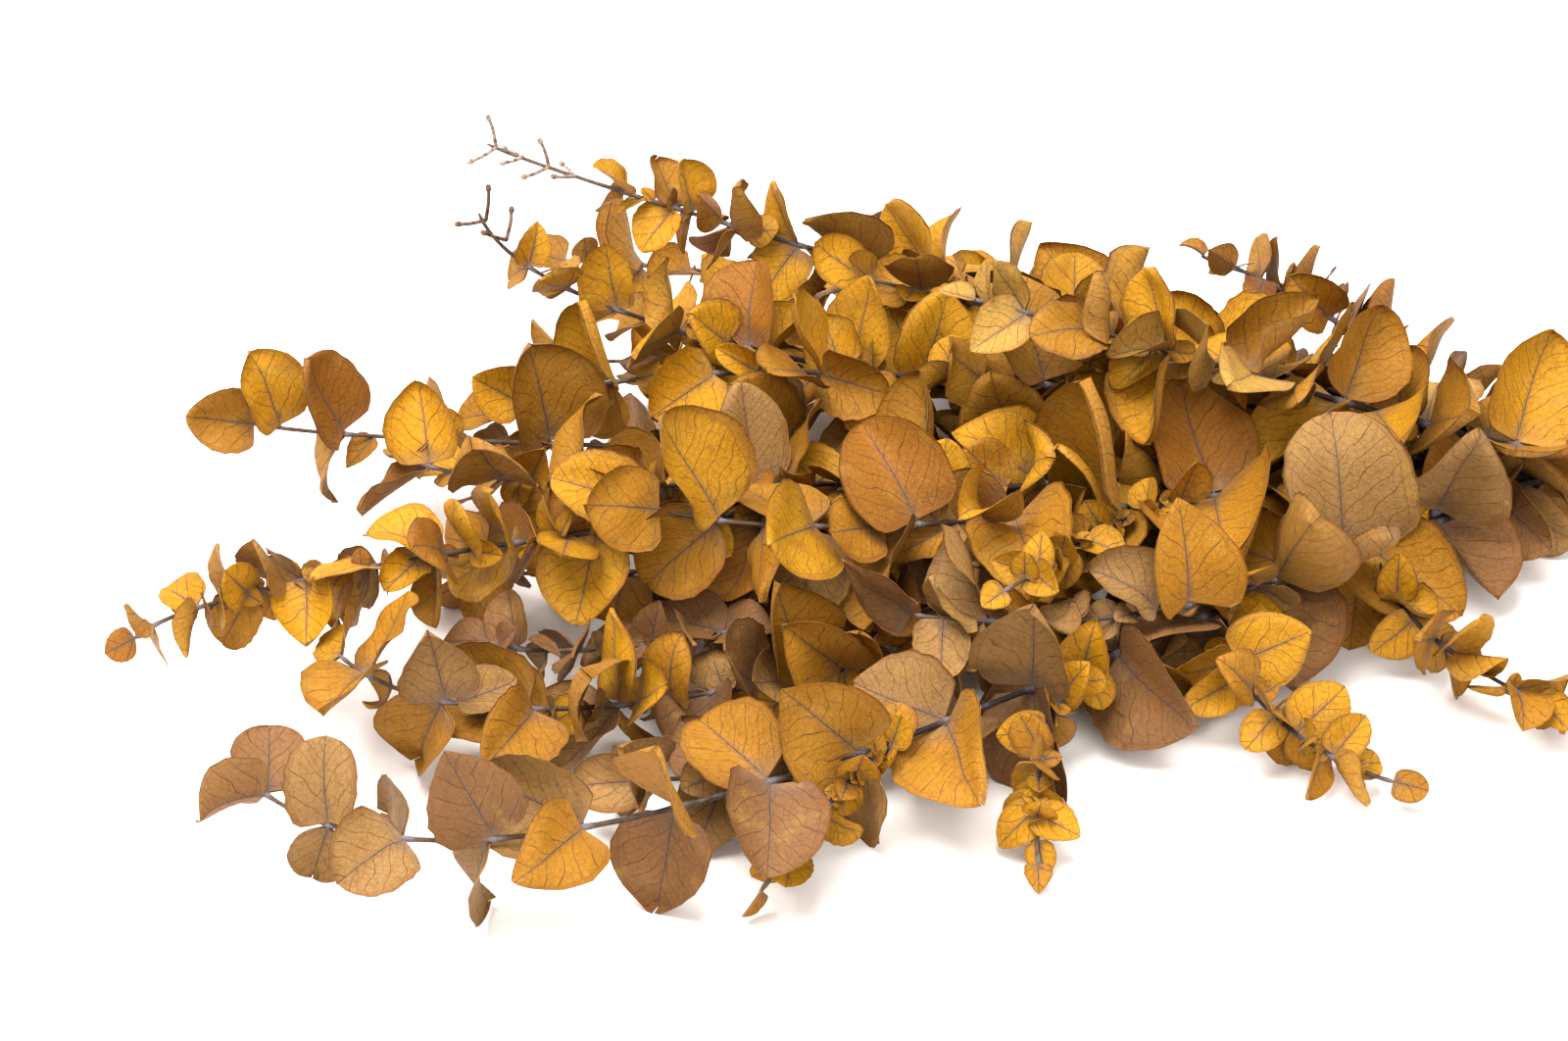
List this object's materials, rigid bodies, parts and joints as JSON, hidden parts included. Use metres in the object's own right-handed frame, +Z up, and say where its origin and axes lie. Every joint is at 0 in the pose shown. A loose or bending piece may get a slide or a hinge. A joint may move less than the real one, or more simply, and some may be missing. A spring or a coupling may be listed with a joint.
{
  "type": "bunch of dried eucalyptus",
  "caption": "Bunch of dried round-leaved eucalyptus stems lying on its side, tied near the cut ends and fanning out to leafy tips.",
  "frame": {"origin": "on the surface the bunch lies on, under the middle of its bounding box", "axes": "+X along the bunch from the leafy tips to the cut ends, +Y to its far side, +Z up"},
  "size_m": [0.6128, 0.411, 0.1245],
  "materials": {
    "dried_eucalyptus": "dry, matt and papery, golden ochre with orange, khaki and rosy brown leaves",
    "twine": "undyed jute twine"
  },
  "bodies": {
    "root": {"leafy_stem_centre": "dried_eucalyptus", "leafy_stem_front": "dried_eucalyptus", "leafy_stem_top": "dried_eucalyptus", "leafy_stem_back_curl": "dried_eucalyptus", "leafy_stem_back_high": "dried_eucalyptus", "leafy_stem_left_low": "dried_eucalyptus", "leafy_stem_left_middle": "dried_eucalyptus", "leafy_stem_left_far": "dried_eucalyptus", "leafy_stem_front_inner": "dried_eucalyptus", "leafy_stem_rosy": "dried_eucalyptus", "leafy_stem_khaki": "dried_eucalyptus", "leafy_stem_crown": "dried_eucalyptus", "leafy_stem_back_short": "dried_eucalyptus", "leafy_stem_back_crown": "dried_eucalyptus", "leafy_stem_front_low": "dried_eucalyptus", "leafy_stem_back_middle": "dried_eucalyptus", "leafy_stem_back_outer": "dried_eucalyptus", "leafy_stem_back_low": "dried_eucalyptus", "leafy_stem_under": "dried_eucalyptus", "twine_tie": "twine"}
  },
  "joints": []
}
